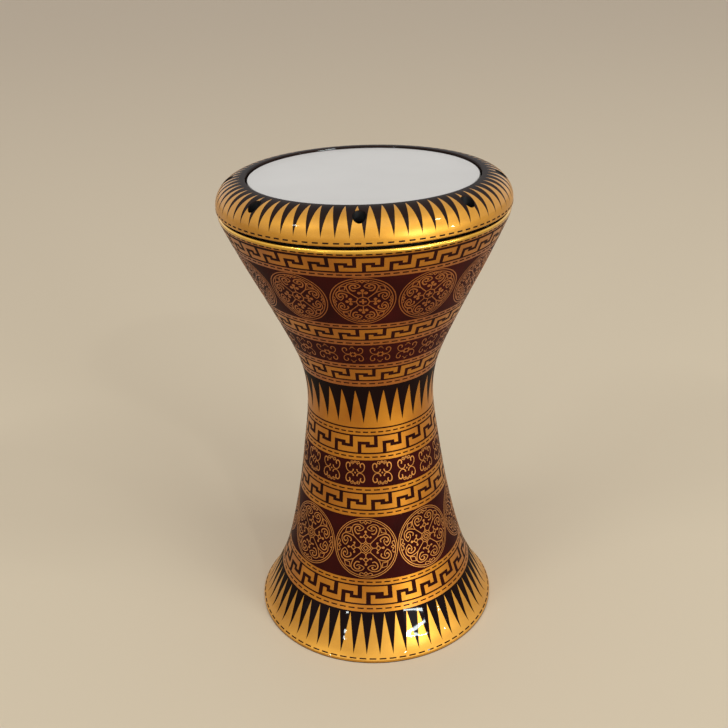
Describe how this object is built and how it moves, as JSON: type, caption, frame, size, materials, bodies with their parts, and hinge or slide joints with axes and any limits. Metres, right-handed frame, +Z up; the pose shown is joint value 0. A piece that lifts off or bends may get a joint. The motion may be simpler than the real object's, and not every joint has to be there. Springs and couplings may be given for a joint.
{
  "type": "goblet drum",
  "caption": "Goblet drum of cast metal with a flared foot, a synthetic head and a rounded tuning ring held by sunk bolts.",
  "frame": {"origin": "centre of the foot, on the surface the drum stands on", "axes": "+Z up along the drum's axis, the first tuning bolt towards -Y"},
  "size_m": [0.2636, 0.2636, 0.4514],
  "materials": {
    "lacquered_shell": "clear lacquer over printed gold, burgundy and black bands on cast aluminium",
    "lacquered_ring": "clear lacquer over gold and black teeth on cast aluminium",
    "drum_film": "satin polyester film",
    "bare_aluminium": "rolled, satin",
    "bonding_resin": "cast epoxy",
    "black_steel": "black oxide",
    "zinc_steel": "zinc plated"
  },
  "bodies": {
    "drum_shell": {"shell": "lacquered_shell", "head_film": "drum_film", "lug_insert_1": "zinc_steel", "lug_insert_2": "zinc_steel", "lug_insert_3": "zinc_steel", "lug_insert_4": "zinc_steel", "lug_insert_5": "zinc_steel", "lug_insert_6": "zinc_steel", "lug_insert_7": "zinc_steel", "lug_insert_8": "zinc_steel"},
    "ring_assembly": {"tuning_ring": "lacquered_ring", "head_hoop": "bare_aluminium", "head_resin": "bonding_resin", "bolt_washer_1": "zinc_steel", "bolt_washer_2": "zinc_steel", "bolt_washer_3": "zinc_steel", "bolt_washer_4": "zinc_steel", "bolt_washer_5": "zinc_steel", "bolt_washer_6": "zinc_steel", "bolt_washer_7": "zinc_steel", "bolt_washer_8": "zinc_steel"},
    "bolt_1": {"tuning_bolt_1": "black_steel"},
    "bolt_2": {"tuning_bolt_2": "black_steel"},
    "bolt_3": {"tuning_bolt_3": "black_steel"},
    "bolt_4": {"tuning_bolt_4": "black_steel"},
    "bolt_5": {"tuning_bolt_5": "black_steel"},
    "bolt_6": {"tuning_bolt_6": "black_steel"},
    "bolt_7": {"tuning_bolt_7": "black_steel"},
    "bolt_8": {"tuning_bolt_8": "black_steel"}
  },
  "joints": [
    {"name": "ring_draw", "type": "slide", "parent": "drum_shell", "child": "ring_assembly", "axis": [0, 0, 1], "range_m": [-0.002, 0.001]},
    {"name": "bolt_1_turn", "type": "hinge", "parent": "ring_assembly", "child": "bolt_1", "pos_m": [-0.00424, -0.12133, 0.43], "axis": [0, 0, 1], "range_deg": [-725, 365]},
    {"name": "bolt_2_turn", "type": "hinge", "parent": "ring_assembly", "child": "bolt_2", "pos_m": [0.08279, -0.08879, 0.43], "axis": [0, 0, 1], "range_deg": [-725, 365]},
    {"name": "bolt_3_turn", "type": "hinge", "parent": "ring_assembly", "child": "bolt_3", "pos_m": [0.12133, -0.00424, 0.43], "axis": [0, 0, 1], "range_deg": [-725, 365]},
    {"name": "bolt_4_turn", "type": "hinge", "parent": "ring_assembly", "child": "bolt_4", "pos_m": [0.08879, 0.08279, 0.43], "axis": [0, 0, 1], "range_deg": [-725, 365]},
    {"name": "bolt_5_turn", "type": "hinge", "parent": "ring_assembly", "child": "bolt_5", "pos_m": [0.00424, 0.12133, 0.43], "axis": [0, 0, 1], "range_deg": [-725, 365]},
    {"name": "bolt_6_turn", "type": "hinge", "parent": "ring_assembly", "child": "bolt_6", "pos_m": [-0.08279, 0.08879, 0.43], "axis": [0, 0, 1], "range_deg": [-725, 365]},
    {"name": "bolt_7_turn", "type": "hinge", "parent": "ring_assembly", "child": "bolt_7", "pos_m": [-0.12133, 0.00424, 0.43], "axis": [0, 0, 1], "range_deg": [-725, 365]},
    {"name": "bolt_8_turn", "type": "hinge", "parent": "ring_assembly", "child": "bolt_8", "pos_m": [-0.08879, -0.08279, 0.43], "axis": [0, 0, 1], "range_deg": [-725, 365]}
  ],
  "couplings": [
    {"joint": "bolt_1_turn", "follows": "ring_draw", "rad_per_m": 6283.2},
    {"joint": "bolt_2_turn", "follows": "ring_draw", "rad_per_m": 6283.2},
    {"joint": "bolt_3_turn", "follows": "ring_draw", "rad_per_m": 6283.2},
    {"joint": "bolt_4_turn", "follows": "ring_draw", "rad_per_m": 6283.2},
    {"joint": "bolt_5_turn", "follows": "ring_draw", "rad_per_m": 6283.2},
    {"joint": "bolt_6_turn", "follows": "ring_draw", "rad_per_m": 6283.2},
    {"joint": "bolt_7_turn", "follows": "ring_draw", "rad_per_m": 6283.2},
    {"joint": "bolt_8_turn", "follows": "ring_draw", "rad_per_m": 6283.2}
  ]
}
